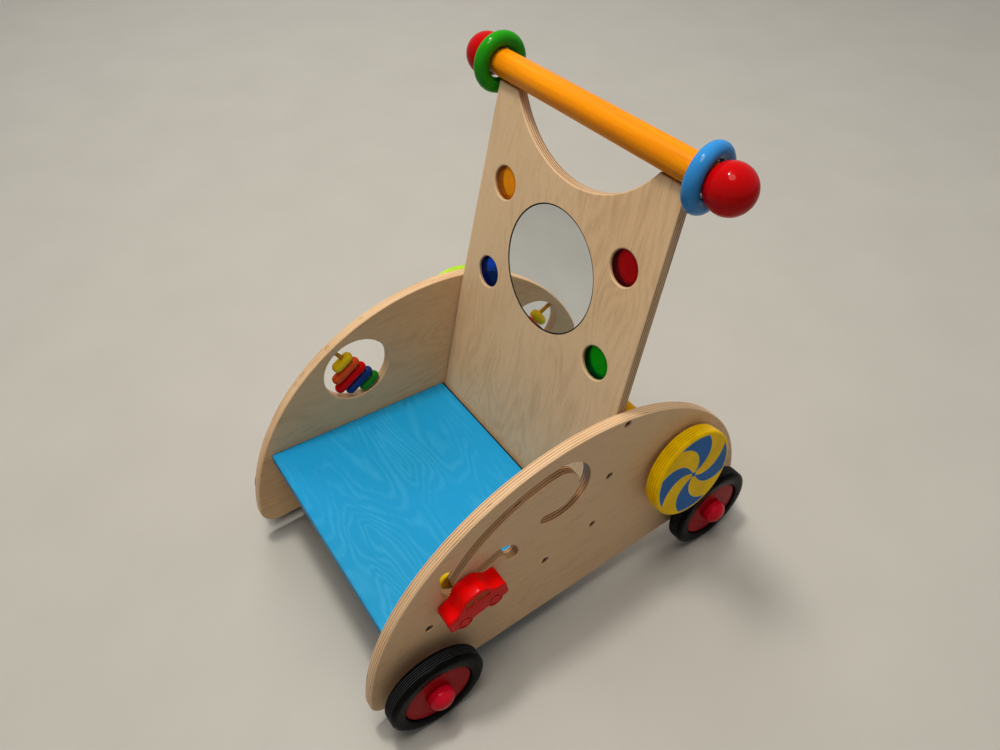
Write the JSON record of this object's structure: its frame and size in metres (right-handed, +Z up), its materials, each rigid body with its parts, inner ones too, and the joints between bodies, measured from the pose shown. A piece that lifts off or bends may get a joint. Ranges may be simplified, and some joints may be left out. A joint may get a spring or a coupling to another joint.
{
  "type": "baby push walker",
  "caption": "Plywood push walker on rubber-tyred wheels, with a push bar, mirror, tinted lenses and captive play pieces on its half-round side panels.",
  "frame": {"origin": "on the floor, under the middle of the side panels", "axes": "+Z up, front at -Y (the load bay's open end), the push bar to the rear at +Y, +X to the side panel with the car track"},
  "size_m": [0.3816, 0.507, 0.5358],
  "materials": {
    "birch_plywood": "clear matt varnish",
    "blue_stained_plywood": "stained, grain showing",
    "orange_stained_beech": "stained, grain showing",
    "amber_beech": "stained, satin",
    "red_lacquer": "gloss lacquer",
    "wheel_red": "satin lacquer",
    "blue_lacquer": "gloss lacquer",
    "sky_lacquer": "gloss lacquer",
    "green_lacquer": "gloss lacquer",
    "lime_lacquer": "gloss lacquer",
    "yellow_lacquer": "gloss lacquer",
    "orange_lacquer": "gloss lacquer",
    "rubber": "matt",
    "steel": "plain",
    "black_steel": "black",
    "mirror": "polished",
    "blue_acrylic": "clear, tinted",
    "green_acrylic": "clear, tinted",
    "orange_acrylic": "clear, tinted",
    "red_acrylic": "clear, tinted"
  },
  "bodies": {
    "frame": {"left_side_panel": "birch_plywood", "right_side_panel": "birch_plywood", "seat_board": "blue_stained_plywood", "back_panel": "birch_plywood", "mirror": "mirror", "lens_blue": "blue_acrylic", "lens_green": "green_acrylic", "lens_orange": "orange_acrylic", "lens_red": "red_acrylic", "push_bar": "orange_stained_beech", "left_bar_knob": "red_lacquer", "right_bar_knob": "red_lacquer", "left_bar_pin": "amber_beech", "right_bar_pin": "amber_beech", "front_axle": "steel", "rear_axle": "steel", "front_left_hub_cap": "red_lacquer", "front_right_hub_cap": "red_lacquer", "rear_left_hub_cap": "red_lacquer", "rear_right_hub_cap": "red_lacquer", "bead_rod": "amber_beech", "rear_cross_bar": "amber_beech", "left_screw_1": "black_steel", "left_screw_2": "black_steel", "left_screw_3": "black_steel", "left_screw_4": "black_steel", "left_screw_5": "black_steel", "right_screw_1": "black_steel", "right_screw_2": "black_steel", "right_screw_3": "black_steel", "right_screw_4": "black_steel", "right_screw_5": "black_steel"},
    "front_left_wheel_body": {"front_left_wheel": "wheel_red", "front_left_tyre": "rubber"},
    "front_right_wheel_body": {"front_right_wheel": "wheel_red", "front_right_tyre": "rubber"},
    "rear_left_wheel_body": {"rear_left_wheel": "wheel_red", "rear_left_tyre": "rubber"},
    "rear_right_wheel_body": {"rear_right_wheel": "wheel_red", "rear_right_tyre": "rubber"},
    "left_spinner": {"left_spin_disc": "yellow_lacquer", "left_spin_peg": "amber_beech", "left_spin_cap": "amber_beech"},
    "right_spinner": {"right_spin_disc": "lime_lacquer", "right_spin_peg": "amber_beech", "right_spin_cap": "amber_beech"},
    "left_ring": {"left_bar_ring": "sky_lacquer"},
    "right_ring": {"right_bar_ring": "green_lacquer"},
    "green_bead": {"bead_green": "green_lacquer"},
    "blue_bead": {"bead_blue": "blue_lacquer"},
    "red_bead": {"bead_red": "red_lacquer"},
    "orange_bead": {"bead_orange": "orange_lacquer"},
    "yellow_bead": {"bead_yellow": "yellow_lacquer"},
    "car_slider": {"track_car_peg": "amber_beech", "track_car_knob": "yellow_lacquer"},
    "car": {"track_car": "red_lacquer"}
  },
  "joints": [
    {"name": "front_left_wheel_spin", "type": "hinge", "parent": "frame", "child": "front_left_wheel_body", "pos_m": [0.168, -0.19079, 0.05401], "axis": [1, 0, 0], "continuous": true},
    {"name": "front_right_wheel_spin", "type": "hinge", "parent": "frame", "child": "front_right_wheel_body", "pos_m": [-0.168, -0.19079, 0.05401], "axis": [1, 0, 0], "continuous": true},
    {"name": "rear_left_wheel_spin", "type": "hinge", "parent": "frame", "child": "rear_left_wheel_body", "pos_m": [0.168, 0.19079, 0.05401], "axis": [1, 0, 0], "continuous": true},
    {"name": "rear_right_wheel_spin", "type": "hinge", "parent": "frame", "child": "rear_right_wheel_body", "pos_m": [-0.168, 0.19079, 0.05401], "axis": [1, 0, 0], "continuous": true},
    {"name": "left_disc_spin", "type": "hinge", "parent": "frame", "child": "left_spinner", "pos_m": [0.175, 0.1415, 0.15669], "axis": [0.9921, 0, 0.1253], "continuous": true},
    {"name": "right_disc_spin", "type": "hinge", "parent": "frame", "child": "right_spinner", "pos_m": [-0.175, 0.05743, 0.20721], "axis": [1, 0, 0], "continuous": true},
    {"name": "left_ring_spin", "type": "hinge", "parent": "frame", "child": "left_ring", "pos_m": [0.1405, 0.11821, 0.50576], "axis": [0.989, 0.1478, 0], "continuous": true},
    {"name": "right_ring_spin", "type": "hinge", "parent": "frame", "child": "right_ring", "pos_m": [-0.1405, 0.11821, 0.50576], "axis": [1, 0, 0], "continuous": true},
    {"name": "green_bead_swing", "type": "hinge", "parent": "frame", "child": "green_bead", "pos_m": [-0.1425, -0.07846, 0.17969], "axis": [0, 0.5195, -0.8545], "continuous": true},
    {"name": "blue_bead_swing", "type": "hinge", "parent": "frame", "child": "blue_bead", "pos_m": [-0.1425, -0.08522, 0.1908], "axis": [0, 0.5195, -0.8545], "continuous": true},
    {"name": "red_bead_swing", "type": "hinge", "parent": "frame", "child": "red_bead", "pos_m": [-0.1425, -0.09197, 0.20191], "axis": [0, 0.5195, -0.8545], "continuous": true},
    {"name": "orange_bead_swing", "type": "hinge", "parent": "frame", "child": "orange_bead", "pos_m": [-0.1425, -0.09873, 0.21302], "axis": [0, 0.5195, -0.8545], "continuous": true},
    {"name": "yellow_bead_swing", "type": "hinge", "parent": "frame", "child": "yellow_bead", "pos_m": [-0.1425, -0.10548, 0.22413], "axis": [0, 0.5195, -0.8545], "continuous": true},
    {"name": "car_travel", "type": "slide", "parent": "frame", "child": "car_slider", "axis": [0, 0.9135, 0.4067], "range_m": [0, 0.044]},
    {"name": "car_swing", "type": "hinge", "parent": "car_slider", "child": "car", "pos_m": [0.1495, -0.13958, 0.16507], "axis": [1, 0, 0], "continuous": true}
  ]
}
